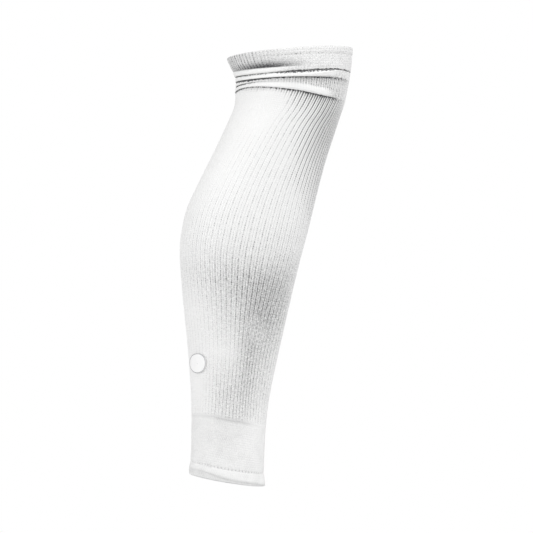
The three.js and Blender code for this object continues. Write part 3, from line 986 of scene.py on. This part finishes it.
def knit_shade(tree, knit, rib, course):
    """How dark the knit is in all: painted shade where it is closed up, in its gaps, in creases and in the
    seam's dimples, and its own grain and ripples.
    """
    shade = calc(tree, "MULTIPLY", point_value(tree, "grey"), CLOSED_PAINTED_SHADE)
    shade = calc(tree, "MULTIPLY_ADD", gap_shade(tree, rib, course), knit.gaps, shade)
    shade = calc(tree, "ADD", shade, comb_shade(tree, rib))
    shade = calc(tree, "ADD", shade, ragged_line(tree))
    for name in ("smear", "pierced"):
        shade = calc(tree, "ADD", shade, point_value(tree, name))
    shade = calc(tree, "MULTIPLY_ADD", grain_shade(tree), knit.grain, shade)
    return calc(tree, "MULTIPLY_ADD", ripple_shade(tree, rib, course), knit.ripple, shade)


def knit_material(knit):
    """White knit with stitches and fuzz in relief."""
    material, tree, shader = new_material(knit.name, KNIT_SURFACE)
    place = new_node(tree, "ShaderNodeSeparateXYZ", (flat_uv(tree),))
    rib, course = place.outputs[0], place.outputs[1]
    white = (knit.white, knit.white, knit.white * KNIT_WARMTH)
    paint(tree, shader, knit_shade(tree, knit, rib, course), white, KNIT_DARK)
    fuzz = noise(tree, FUZZ_SIZE, FUZZ_DETAIL)
    height = calc(tree, "MULTIPLY_ADD", fuzz, FUZZ_SHARE, stitch_height(tree, rib, course))
    emboss(tree, shader, height, knit.relief, YARN_DEPTH)
    return material


def thread_material():
    """Sewing thread: two twisted plies with painted shade where they meet, a little shinier than the knit.
    """
    material, tree, shader = new_material("sewing_thread", THREAD_SURFACE)
    place = new_node(tree, "ShaderNodeSeparateXYZ", (flat_uv(tree),))
    twist = calc(tree, "MULTIPLY_ADD", place.outputs[1], THREAD_TWISTS, place.outputs[0])
    ply = calc(tree, "ABSOLUTE", calc(tree, "SINE", calc(tree, "MULTIPLY", twist, 2 * math.pi)))
    paint(tree, shader, ply, THREAD_PLY_SHADE, THREAD_LIGHT)
    emboss(tree, shader, ply, THREAD_RELIEF, THREAD_DEPTH)
    return material


def badge_material():
    """Satin film with a fine grain and a thin ring of painted shade along its edge."""
    material, tree, shader = new_material("badge_film", BADGE_SURFACE)
    size = vector_length(tree, flat_uv(tree))
    inside = ramp_between(tree, size, *EDGE_RING_INSIDE)
    edge_ring = calc(tree, "MULTIPLY", inside, inverse(tree, ramp_between(tree, size, *EDGE_RING_OUTSIDE)))
    mottle = calc(tree, "SUBTRACT", noise(tree, MOTTLE_SIZE), 0.5)
    # The ring at the edge is painted shade; the mottle is the film's own uneven tone.
    paint(tree, shader, calc(tree, "MULTIPLY_ADD", mottle, MOTTLE_SHARE, edge_ring), BADGE_WHITE, BADGE_EDGE_SHADE)
    grain = calc(tree, "SUBTRACT", noise(tree, FILM_SIZE, FILM_DETAIL), edge_ring)
    emboss(tree, shader, grain, FILM_RELIEF, FILM_DEPTH)
    return material


def dress(piece, slot, *nodes):
    """Fixes a piece to the sleeve's body, in place of the CAD nodes that it stands for."""
    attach(piece, "root")
    if nodes:
        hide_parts(*nodes)


def studio_floor():
    material, tree, shader = new_material("studio_floor", FLOOR_SURFACE)
    shader.inputs["Base Color"].default_value = FLOOR_COLOUR
    fade = [FLOOR_RADIUS * share for share in FLOOR_FADE]
    solid = inverse(tree, ramp_between(tree, vector_length(tree, object_place(tree)), *fade))
    tree.links.new(solid, shader.inputs["Alpha"])
    bpy.ops.mesh.primitive_circle_add(
        vertices=FLOOR_CORNERS, radius=FLOOR_RADIUS, fill_type="NGON", location=(0.0, 0.0, FLOOR_Z)
    )
    floor = bpy.context.object
    floor.name = "studio_floor"
    floor.data.materials.append(material)


def softbox(lamp):
    """A square lamp aimed at the sleeve."""
    light = bpy.data.lights.new(lamp.name, "AREA")
    light.size = LAMP_SIZE
    light.energy = lamp.power
    box = bpy.data.objects.new(lamp.name, light)
    turn, up = math.radians(lamp.azimuth), math.radians(lamp.elevation)
    box.location = (
        LAMP_DISTANCE * math.cos(turn) * math.cos(up),
        LAMP_DISTANCE * math.sin(turn) * math.cos(up),
        LAMP_DISTANCE * math.sin(up),
    )
    box.rotation_euler = (math.pi / 2 - up, 0, turn + math.pi / 2)
    bpy.context.scene.collection.objects.link(box)


def studio_world():
    """A white surround that lights the sleeve only faintly."""
    world = bpy.data.worlds.new("studio_world")
    world.use_nodes = True
    tree = world.node_tree
    glow = tree.nodes["Background"]
    glow.inputs["Color"].default_value = WHITE
    glow.inputs["Strength"].default_value = AMBIENT
    white = new_node(tree, "ShaderNodeBackground", (WHITE, 1.0))
    seen = new_node(tree, "ShaderNodeLightPath").outputs["Is Camera Ray"]
    mix = new_node(tree, "ShaderNodeMixShader", (seen, glow.outputs[0], white.outputs[0]))
    tree.links.new(mix.outputs[0], tree.nodes["World Output"].inputs["Surface"])
    bpy.context.scene.world = world


def photo_camera():
    data = bpy.data.cameras.new("photo_camera")
    data.sensor_width = SENSOR
    data.lens = SENSOR * abs(CAMERA_PLACE[1]) / VIEW_WIDTH
    camera = bpy.data.objects.new("photo_camera", data)
    camera.location = CAMERA_PLACE
    camera.rotation_euler = (math.pi / 2, 0, 0)
    bpy.context.scene.collection.objects.link(camera)
    bpy.context.scene.camera = camera


rib_knit = knit_material(RIB_KNIT)
plain_knit = knit_material(PLAIN_KNIT)

leg = ribbed_leg(rib_knit)
cuff = knee_cuff(rib_knit)
ankle = ankle_cuff(plain_knit)
hem = bottom_hem(plain_knit)
stitches = hem_stitches(thread_material())
badge = badge_disc(badge_material())
dress(leg, "rib_knit", "ribbed_leg")
dress(cuff, "rib_knit", "knee_cuff")
dress(ankle, "plain_knit", "ankle_cuff")
dress(hem, "plain_knit", "bottom_hem")
dress(stitches, "plain_knit")
dress(badge, "badge_film", "round_badge")

studio_floor()
studio_world()
for lamp in LAMPS:
    softbox(lamp)
photo_camera()
bpy.context.scene.view_settings.view_transform = "Standard"
